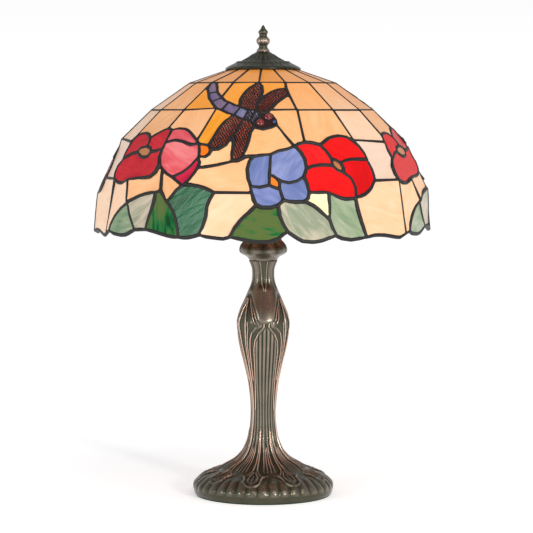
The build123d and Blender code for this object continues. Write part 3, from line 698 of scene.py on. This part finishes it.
def smooth_line(points, step):
    """Points at even steps along the smooth curve through a profile, and their places along it."""
    points = np.array(points, dtype=float)
    padded = np.vstack([2 * points[0] - points[1], points, 2 * points[-1] - points[-2]])
    line = [points[0]]
    for before, a, b, after in zip(padded, padded[1:], padded[2:], padded[3:]):
        for t in np.linspace(0, 1, CURVE_POINTS)[1:]:
            line.append(((-t + 2 * t ** 2 - t ** 3) * before + (2 - 5 * t ** 2 + 3 * t ** 3) * a
                         + (t + 4 * t ** 2 - 3 * t ** 3) * b + (t ** 3 - t ** 2) * after) / 2)
    line = np.array(line)
    lengths = np.concatenate([[0], np.cumsum(np.hypot(*np.diff(line, axis=0).T))])
    wanted = np.linspace(0, lengths[-1], max(2, round(lengths[-1] / step) + 1))
    return np.stack([np.interp(wanted, lengths, line[:, i]) for i in (0, 1)], axis=1), wanted


def outward(line):
    """Unit normals to the right of a (radius, height) line."""
    along = np.gradient(line, axis=0)
    along /= np.hypot(*along.T)[:, None]
    return np.stack([along[:, 1], -along[:, 0]], axis=1)


def degrees_of(columns):
    """The degrees of each column of a turned piece."""
    return 360 * np.arange(columns) / columns


def lobes(degrees, count):
    """Rounded lobes, 0 in the creases and 1 on the lobes."""
    return np.abs(np.cos(np.radians(degrees * count / 2)))


def fade(values, start, end):
    """0 at start, 1 at end, smooth between."""
    part = np.clip((values - start) / (end - start), 0, 1)
    return part * part * (3 - 2 * part)


def band(line, low, high, soft):
    """1 between two heights of a line, fading to 0 over a soft length."""
    height = line[:, 1:]
    return np.clip((height - low) / soft, 0, 1) * np.clip((high - height) / soft, 0, 1)


def dome(distance, size):
    """1 in the middle, round down to 0 at a distance of this size."""
    return np.sqrt(np.clip(1 - (distance / size) ** 2, 0, 1))


def cast_piece(name, body, line, relief, wear_and_shade, closing=(), closing_wear_and_shade=0.0):
    """A turned piece, raised by its relief, that ends in plain closing rows.

    The tone given after the relief is the patina's place with painted shade and painted highlight:
    0 in the creases and 1 on the most rubbed ridges.
    """
    columns = relief.shape[1]
    turns = np.radians(degrees_of(columns))
    side = outward(line)
    radius = line[:, :1] + side[:, :1] * relief
    height = line[:, 1:] + side[:, 1:] * relief
    for r, z in closing:
        radius = np.vstack([radius, np.full((1, columns), r)])
        height = np.vstack([height, np.full((1, columns), z)])
        wear_and_shade = np.vstack([wear_and_shade, np.full((1, columns), closing_wear_and_shade)])
    points = np.stack([radius * np.sin(turns), -radius * np.cos(turns), height], axis=-1) * MM
    mesh = make_mesh(name, points.reshape(-1, 3), grid_faces(len(radius), columns))
    float_attribute(mesh, "relief", wear_and_shade)
    return new_piece(name, mesh, body)


# ---- relief of the base -------------------------------------------------------------------------
BASE_PROFILE = [
    (82.2, 1.5), (83.6, 5), (84.0, 9.5), (82.6, 14.2), (77.4, 19.2), (70.2, 24.4), (55.0, 30.6),
    (44.8, 36.6), (34.0, 42.8), (27.5, 49), (23.0, 55.2), (18.1, 67.5), (15.9, 79.5), (14.8, 91),
    (14.5, 103), (15.1, 115), (16.4, 127), (18.2, 139), (20.8, 151), (23.6, 163), (26.6, 175),
    (28.9, 187), (30.6, 199), (31.3, 206), (30.7, 212), (27.2, 223), (21.8, 235), (16.7, 247),
    (12.9, 259), (12.5, 271), (13.9, 277), (16.4, 283),
]
BASE_CLOSING = [(10, 283), (10, 262)]
BASE_COLUMNS, BASE_STEP = 432, 1.3          # points round it, and mm between points along it
FOOT_TOP = 60                               # below it, a radius is met once, on the foot's slope
FOLD = 60.0                                 # the relief is mirrored every 60 degrees
# How far the relief's pattern is turned, in degrees, at each height.
TURN_HEIGHTS, TURN_DEGREES = [0, 60, 200, 250, 283], [9.2, 8.6, 7.5, 5.5, 3]

# A line over the fold has (degrees, place) points. A place is a height or, on the foot, a radius
# given as ("r", radius). A ridge is a line, its half width and its rise.
NECK_LOW, NECK_HIGH = 246, 254              # the neck's lobes grow between these heights
LOBE_MIDDLE, LOBE_HALF_WIDTH, LOBE_RISE = 40, 19, 1.1
GROOVE_HALF_WIDTH, GROOVE_TAPER, GROOVE_DEPTH = 6.5, 20, 1.6
GROOVE_SOFT = 3
NECK_RIDGE = ([(16.5, 284), (15, 268), (11, 257), (3, 248)], 1.1, 0.8)
SHIELD_EDGE = [(60, 243), (51, 241), (46, 236), (35, 229), (27, 222), (20, 213), (15, 209.5),
               (6, 208.5), (0, 208.3)]
SHIELD_TOP, SHIELD_RISE, SHIELD_SLOPE = 243, 1.3, 3.5
LEAF_RIDGES = [
    ([(48, 237), (36, 229), (28.5, 222), (22, 213), (16, 209), (6, 207.8), (4.5, 206), (10, 201.5),
      (19, 196), (27, 188), (31, 178), (33, 165), (36, 148), (41, 130), (46, 104)], 0.95, 1.25),
    ([(52, 238), (41, 229), (34.5, 222), (30, 214), (25, 209), (11, 205.9), (24, 203),
      (34, 197.5), (39, 190), (42, 178), (45, 160), (47, 140)], 0.95, 1.2),
    ([(60, 237), (54, 226), (50, 214), (49, 208), (51, 195), (53, 178), (54, 160), (56, 130),
      (58, 95), (60, 74), (60, 66)], 1.2, 1.5),
    ([(45, 210), (43, 203), (46, 194), (49, 180), (51, 160)], 0.8, 0.9),
]
REED_EDGE = [(0, 204), (4, 202.5), (10, 199), (19, 193), (27, 184), (30.5, 172), (33, 150),
             (45, 128), (50, 110), (51, 75), (60, 60), (60, 20)]
REEDS_ROUND = 27                            # they crowd together towards the column's top
REED_CROWDING, CROWDED_LOW, CROWDED_HIGH = 0.3, 120, 195
REED_SINK = 0.25                            # the reeds' lowest part, which is left out
REED_LOW, REED_HIGH = 46, 66
# Each fan line: degrees on the column and on the foot, radius at its end and height at its start.
FAN_LINES = [(6.67, 7.6, 50, 76), (33.3, 32.4, 50, 76), (46.7, 47.6, 50, 76),
             (2.4, 2.6, 51, 58), (37.6, 37.4, 51, 58), (42.4, 42.6, 51, 58)]
FAN_HALF_WIDTH, FAN_RISE = 0.9, 0.85
FAN_STRAIGHT, FAN_RADIUS = 12, 40           # mm straight down first; radius where it has turned
# Each palmette's middle and the sides of it that lie in the fold; degrees are from its middle.
PALMETTES = [(20, (-1, 1)), (60, (-1,))]
PALMETTE_RIDGES = [
    ([(0.5, 78), (1.9, 62), (2.2, ("r", 38)), (3.0, ("r", 48)), (7.0, ("r", 55)),
      (12.5, ("r", 58)), (16, ("r", 57))], 1.2, 1.5),
    ([(12.5, ("r", 59.5)), (9.6, ("r", 61.5)), (8.8, ("r", 66)), (8.0, ("r", 71.5)),
      (4.8, ("r", 75.5)), (0, ("r", 77.2))], 1.2, 2.6),
    ([(1.4, ("r", 50)), (5.0, ("r", 59)), (4.6, ("r", 67)), (3.0, ("r", 70.8)),
      (0, ("r", 72.2))], 0.95, 1.9),
]
PALMETTE_RIB = (("r", 56), ("r", 68))
RIB_HALF_WIDTH, RIB_RISE = 0.9, 1.4
GADROONS, GADROON_RISE = 39, 1.7
GADROON_IN, GADROON_OUT = 60, 80            # radii where they begin and where they are full
GADROON_LOW, GADROON_SOFT = 8.0, 6.5        # their foot, and how far above it they are full
COLUMN_LOW = 50                             # the relief is smoothed above this height
# Wear where hands and cloths reach, with painted shade in the creases and painted highlight on
# raised relief: what a smooth part has, what a bend adds or takes, and what each mm of relief
# adds, by height above the floor.
SHADE_AND_WEAR_START, SHADE_AND_WEAR_BEND = 0.25, 0.5
SHADE_AND_WEAR_HEIGHTS, SHADE_AND_WEAR_SHARES = [30, 70], [0.07, 0.22]
FINEST = 0.35                 # mm; points are never taken to lie closer than this round the base


class Relief:
    """Heights over one folded sixth of a turned surface: rows along it, columns of degrees."""

    def __init__(self, line, lengths, columns):
        self.line, self.lengths = line, lengths
        self.across, self.up = line[:, :1], line[:, 1:]
        self.degrees = np.linspace(0, FOLD, round(columns * FOLD / 360) + 1)
        self.height = np.zeros((len(line), len(self.degrees)))

    def row(self, place):
        """Where along the line a place is met."""
        if isinstance(place, tuple):
            foot = self.line[:, 1] < FOOT_TOP
            order = np.argsort(self.line[foot, 0])
            return np.interp(place[1], self.line[foot, 0][order], self.lengths[foot][order])
        order = np.argsort(self.line[:, 1])
        return np.interp(place, self.line[order, 1], self.lengths[order])

    def distance(self, line):
        """Distance of every point to a line."""
        points = [(degrees, self.row(place)) for degrees, place in line]
        best = np.full(self.height.shape, 1e3)
        for (a, s), (b, t) in zip(points, points[1:]):
            ax = np.radians(self.degrees[None, :] - a) * self.across
            bx = np.radians(b - a) * self.across
            ay, by = self.lengths[:, None] - s, t - s
            part = np.clip((ax * bx + ay * by) / np.maximum(bx ** 2 + by ** 2, 1e-9), 0, 1)
            best = np.minimum(best, np.hypot(ax - part * bx, ay - part * by))
        return best

    def raise_to(self, heights):
        """Joins heights to what is there by the higher of the two."""
        self.height = np.maximum(self.height, heights)

    def ridge(self, line, half_width, rise):
        """A rounded ridge along a line."""
        self.raise_to(rise * np.clip(1 - (self.distance(line) / half_width) ** 2, 0, 1))

    def before(self, line):
        """Which points lie between the fold's middle and a line, row by row."""
        rows = np.array([self.row(place) for _, place in line])
        degrees = np.array([degrees for degrees, _ in line])
        order = np.argsort(rows)
        edge = np.interp(self.lengths, rows[order], degrees[order], left=0, right=0)
        return self.degrees[None, :] < edge[:, None]

    def unfolded(self, columns, turn):
        """The whole turn of heights, with the fold's middle turned by these degrees in each row."""
        degrees = degrees_of(columns)
        rows = []
        for row, shift in zip(self.height, turn):
            folded = np.abs((degrees - shift + FOLD) % (2 * FOLD) - FOLD)
            rows.append(np.interp(folded, self.degrees, row))
        return np.stack(rows)


def cast_neck(relief):
    """Broad lobes, and thin ridges beside a narrow groove that ends in a point."""
    lobe = np.clip(1 - ((relief.degrees - LOBE_MIDDLE) / LOBE_HALF_WIDTH) ** 2, 0, 1)
    lobe = lobe * fade(relief.up, NECK_LOW, NECK_HIGH)
    taper = np.clip((relief.up - NECK_LOW) / GROOVE_TAPER, 0, 1)
    groove = np.clip(1 - (relief.degrees / (GROOVE_HALF_WIDTH * taper + 0.1)) ** 2, 0, 1)
    groove = groove * fade(relief.up, NECK_LOW, NECK_LOW + GROOVE_SOFT)
    relief.height = LOBE_RISE * lobe - GROOVE_DEPTH * groove
    relief.ridge(*NECK_RIDGE)


def cast_belly(relief):
    """A smooth shield that hangs from the neck between leaf lines."""
    belly = 1 - fade(relief.up, NECK_LOW, NECK_HIGH)
    depth = np.clip(relief.distance(SHIELD_EDGE) / SHIELD_SLOPE, 0, 1)
    shield = np.where(relief.before(SHIELD_EDGE), SHIELD_RISE * np.sin(depth * math.pi / 2), 0)
    above = relief.height + SHIELD_RISE * belly
    relief.height = np.where(relief.up > SHIELD_TOP, above, shield * belly)
    for ridge in LEAF_RIDGES:
        relief.ridge(*ridge)


def cast_column(relief):
    """Fine reeds that start under the leaf lines and fan out over the foot as fine lines."""
    spread = 1 - REED_CROWDING * fade(relief.up, CROWDED_LOW, CROWDED_HIGH)
    reeds = np.abs(np.sin(np.radians(relief.degrees * REEDS_ROUND / 2 / spread))) - REED_SINK
    relief.raise_to(reeds * relief.before(REED_EDGE) * fade(relief.up, REED_LOW, REED_HIGH))
    for first, last, reach, top in FAN_LINES:
        line = [(first, top), (first, top - FAN_STRAIGHT),
                (last, ("r", FAN_RADIUS)), (last, ("r", reach))]
        relief.ridge(line, FAN_HALF_WIDTH, FAN_RISE)


def cast_foot(relief):
    """Bell-shaped palmettes on two-line stems, nine round, and soft gadroons on the shoulder."""
    for middle, sides in PALMETTES:
        for side in sides:
            for line, half_width, rise in PALMETTE_RIDGES:
                turned = [(middle + side * degrees, place) for degrees, place in line]
                relief.ridge(turned, half_width, rise)
        relief.ridge([(middle, place) for place in PALMETTE_RIB], RIB_HALF_WIDTH, RIB_RISE)
    strength = fade(relief.across, GADROON_IN, GADROON_OUT)
    strength = strength * np.sqrt(np.clip((relief.up - GADROON_LOW) / GADROON_SOFT, 0, 1))
    relief.raise_to(GADROON_RISE * lobes(relief.degrees, GADROONS) * strength)


def calm_column(relief):
    """Smooths the column's relief along it."""
    height = relief.height
    calm = (height[2:] + 2 * height[1:-1] + height[:-2]) / 4
    height[1:-1] = np.where(relief.up[1:-1] > COLUMN_LOW, calm, height[1:-1])


def worn_and_shaded(line, heights):
    """The patina's place with painted shade in the creases and painted highlight on the ridges:
    about 0.25 on smooth parts, more on ridges and 0 in the creases.
    """
    across = 2 * math.pi * line[:, :1] / heights.shape[1]
    along = np.median(np.hypot(*np.diff(line, axis=0).T))
    bend = np.roll(heights, 1, 1) - 2 * heights + np.roll(heights, -1, 1)
    bend = bend / np.maximum(across, FINEST) ** 2
    bend[1:-1] += (heights[2:] - 2 * heights[1:-1] + heights[:-2]) / along ** 2
    soft = (np.roll(bend, 1, 1) + 2 * bend + np.roll(bend, -1, 1)) / 4
    soft[1:-1] = (soft[2:] + 2 * soft[1:-1] + soft[:-2]) / 4
    share = np.interp(line[:, 1], SHADE_AND_WEAR_HEIGHTS, SHADE_AND_WEAR_SHARES)[:, None]
    return np.clip(SHADE_AND_WEAR_START + share * heights - SHADE_AND_WEAR_BEND * soft, 0, 1)


def make_base():
    line, lengths = smooth_line(BASE_PROFILE, BASE_STEP)
    relief = Relief(line, lengths, BASE_COLUMNS)
    cast_neck(relief)
    cast_belly(relief)
    cast_column(relief)
    cast_foot(relief)
    calm_column(relief)
    heights = relief.unfolded(BASE_COLUMNS, np.interp(line[:, 1], TURN_HEIGHTS, TURN_DEGREES))
    piece = cast_piece("base_shell", "base", line, heights, worn_and_shaded(line, heights), BASE_CLOSING)
    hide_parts("base_foot", "base_column", "base_neck")
    wear(piece, patina_and_shade_metal("bronze_patina"))


# ---- collar, heat cap and finial ----------------------------------------------------------------
COLLAR_PROFILE = [
    (16.5, 283), (18.0, 285.4), (20.4, 287.6), (23.6, 289.4), (26.8, 291.2), (28.6, 293.4),
    (28.9, 296.2), (28.0, 299.8), (25.9, 303.2), (22.8, 306.6), (20.4, 309.6), (12, 312),
]
COLLAR_CLOSING = [(5.4, 312)]
COLLAR_COLUMNS, COLLAR_STEP = 240, 0.6
COLLAR_LOBES, COLLAR_TURN = 10, 18
COLLAR_BULGE = 0.7            # 1 gives round lobes, less gives fuller lobes with sharper creases
COLLAR_LOW, COLLAR_HIGH, COLLAR_SOFT = 289, 308, 4
COLLAR_TONE, COLLAR_CONTRAST = 0.5, 0.4

CAP_PROFILE = [
    (43.4, 510.9), (44.6, 510.6), (45.3, 511.4), (44.9, 512.6), (42.6, 514.0), (40.6, 514.9),
    (36.6, 517.0), (31.9, 519.2), (26.4, 520.9), (21.9, 522.9), (17.2, 525.7), (12.8, 528.8),
    (9.8, 531.0), (7.6, 532.0), (4.2, 532.1),
]
CAP_INSIDE = [(4.2, 530.3), (7, 530.3), (11.6, 527.1), (21, 521.2), (31, 517.4), (39, 513.5),
              (42.6, 511.6), (43.3, 511.0)]
CAP_COLUMNS, CAP_STEP = 348, 0.55
CAP_BEADS, BEAD_RING, BEAD_SIZE, BEAD_RISE = 29, 30.6, 2.3, 1.1
CAP_RINGS, RING_SIZE, RING_RISE = (27.2, 34.2), 0.7, 0.5
BEAD_SQUEEZE = 1.12           # a bead is this many times shorter along the radius
CAP_LEAVES, LEAF_RISE = 24, 0.6
LEAF_ROOT, LEAF_END, LEAF_TAPER = 12.5, 26, 14
FLUTE_IN, FLUTE_OUT, FLUTE_RISE = 35, 43.5, 0.35
CAP_TONE, CAP_CONTRAST = 0.06, 0.36

FINIAL_PROFILE = [
    (3.4, 532.2), (7.6, 532.2), (8.0, 533.1), (7.1, 534.6), (5.6, 536.4), (5.0, 538.3),
    (5.9, 540.6), (7.6, 542.6), (8.2, 544.4), (7.9, 546.6), (6.4, 548.6), (4.9, 550.2),
    (4.7, 552.4), (5.6, 554.2), (5.8, 555.8), (4.6, 557.5), (3.2, 558.9), (2.2, 561.0),
    (1.2, 562.9), (0.05, 563.9),
]
FINIAL_COLUMNS, FINIAL_STEP = 96, 0.4
FINIAL_LOBES, FINIAL_RISE = 10, 0.5
FINIAL_LOW, FINIAL_HIGH, FINIAL_SOFT = 539.5, 548.5, 2
# The finial is duller where it is slim, up to the first radius, and brightest 3 mm further out,
# with
# its lobes lighter: patina with painted highlight.
FINIAL_SLIM, FINIAL_TONE, FINIAL_GAIN, FINIAL_CONTRAST = 4.6, 0.2, 0.45, 0.4


def make_collar():
    line, _ = smooth_line(COLLAR_PROFILE, COLLAR_STEP)
    degrees = degrees_of(COLLAR_COLUMNS) - COLLAR_TURN
    relief = lobes(degrees, COLLAR_LOBES) ** COLLAR_BULGE - 1
    relief = relief * band(line, COLLAR_LOW, COLLAR_HIGH, COLLAR_SOFT)
    # Darker in the creases between the lobes: patina with painted shade.
    wear_and_shade = COLLAR_TONE + COLLAR_CONTRAST * relief
    piece = cast_piece("collar_shell", "base", line, relief, wear_and_shade, COLLAR_CLOSING, COLLAR_TONE)
    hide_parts("neck_collar")
    wear(piece, patina_and_shade_metal("collar_patina_and_shade"))


def cap_relief(line):
    """A ring of beads between two fine rings, with pointed leaves inside and flutes outside."""
    radius = line[:, :1]
    round_part = degrees_of(CAP_COLUMNS) / 360
    from_bead = ((round_part * CAP_BEADS) % 1 - 0.5) * 360 / CAP_BEADS
    distance = np.hypot(np.radians(from_bead) * radius, (radius - BEAD_RING) * BEAD_SQUEEZE)
    relief = BEAD_RISE * dome(distance, BEAD_SIZE)
    for ring in CAP_RINGS:
        relief = np.maximum(relief, RING_RISE * dome(radius - ring, RING_SIZE))
    from_leaf = np.abs(((round_part * CAP_LEAVES) % 1) - 0.5) * 2
    width = np.clip((LEAF_END - radius) / LEAF_TAPER, 0.01, 1)
    blade = np.clip(1 - from_leaf / width, 0, 1) * (radius < LEAF_END + 0.5)
    relief = np.maximum(relief, LEAF_RISE * np.sqrt(blade) * (radius > LEAF_ROOT))
    flute = FLUTE_RISE * (1 - from_leaf ** 2)
    flute = flute * np.clip((radius - FLUTE_IN) / 2, 0, 1) * np.clip(FLUTE_OUT - radius, 0, 1)
    return np.maximum(relief, flute)


def make_heat_cap():
    line, _ = smooth_line(CAP_PROFILE, CAP_STEP)
    relief = cap_relief(line)
    # Lighter on the raised beads, rings, leaves and flutes: patina with painted highlight.
    wear_and_shade = CAP_TONE + CAP_CONTRAST * relief
    piece = cast_piece("heat_cap_shell", "heat_cap", line, relief, wear_and_shade, CAP_INSIDE, CAP_TONE)
    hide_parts("heat_cap")
    wear(piece, patina_and_shade_metal("cap_patina_and_shade"))


def make_finial():
    line, _ = smooth_line(FINIAL_PROFILE, FINIAL_STEP)
    relief = FINIAL_RISE * (lobes(degrees_of(FINIAL_COLUMNS), FINIAL_LOBES) - 0.5)
    relief = relief * band(line, FINIAL_LOW, FINIAL_HIGH, FINIAL_SOFT)
    stout = np.clip((line[:, :1] - FINIAL_SLIM) / 3, 0, 1)
    wear_and_shade = FINIAL_TONE + FINIAL_GAIN * stout + FINIAL_CONTRAST * relief
    piece = cast_piece("finial_shell", "finial", line, relief, wear_and_shade)
    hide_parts("finial")
    wear(piece, patina_and_shade_metal("finial_patina_and_shade"))


# ---- what the CAD shows itself ------------------------------------------------------------------
def dress_hardware():
    """Materials for the CAD nodes that stay visible."""
    steel = plain_metal("steel", "8C8E92", "B0B2B6", 0.32)
    brass = plain_metal("brass", "B08A3C", "D0AA5C", 0.3)
    dark = plain_metal("dark_fitting", "2A241C", "4C4234", 0.4, metallic=0.7)
    iron = plain_metal("iron", "2E2E30", "48484A", 0.7, metallic=0.6)
    aluminium = plain_metal("bulb_cap", "A8AAAC", "C8CACC", 0.28)
    ceramic = glossy("ceramic", "E8E4DA", "F2EEE6", 0.12)
    opal = glossy("opal_glass", "F6F2EA", "FFFDF8", 0.06, coat=0.7, glow=0.25)
    red = glossy("red_cabochon", "5C040A", "84080E", 0.05, coat=0.5)
    blue = glossy("blue_cabochon", "1C3C78", "2C5490", 0.05, coat=0.5)
    black = glossy("black_plastic", "16161A", "26262A", 0.35, coat=0.2)
    looks = {
        "felt_pad": felt(), "bottom_plate": steel, "base_weight": iron, "stem_tube": steel,
        "stem_washer": steel, "stem_nut": steel, "cable_bush": black, "stem_sleeve": dark,
        "cluster_body": brass, "shade_rod": steel, "rod_nut": brass, "shade_wheel": brass,
        "top_ring": brass, "dragonfly_eyes": red, "dragonfly_beads": blue,
    }
    for side in ("left", "right"):
        looks.update({
            f"lamp_arm_{side}": brass, f"lamp_shell_{side}": dark, f"lamp_insert_{side}": ceramic,
            f"lamp_contact_{side}": brass, f"thread_sleeve_{side}": brass,
            f"bulb_cap_{side}": aluminium, f"bulb_globe_{side}": opal,
        })
    for node, material in looks.items():
        wear(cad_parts[node], material)


make_camera()
for light in LIGHTS:
    make_light(*light)
make_sky()
make_floor()
dress_hardware()
glass_panes = make_glass()
make_lattice(glass_panes)
make_lace(glass_panes)
make_base()
make_collar()
make_heat_cap()
make_finial()
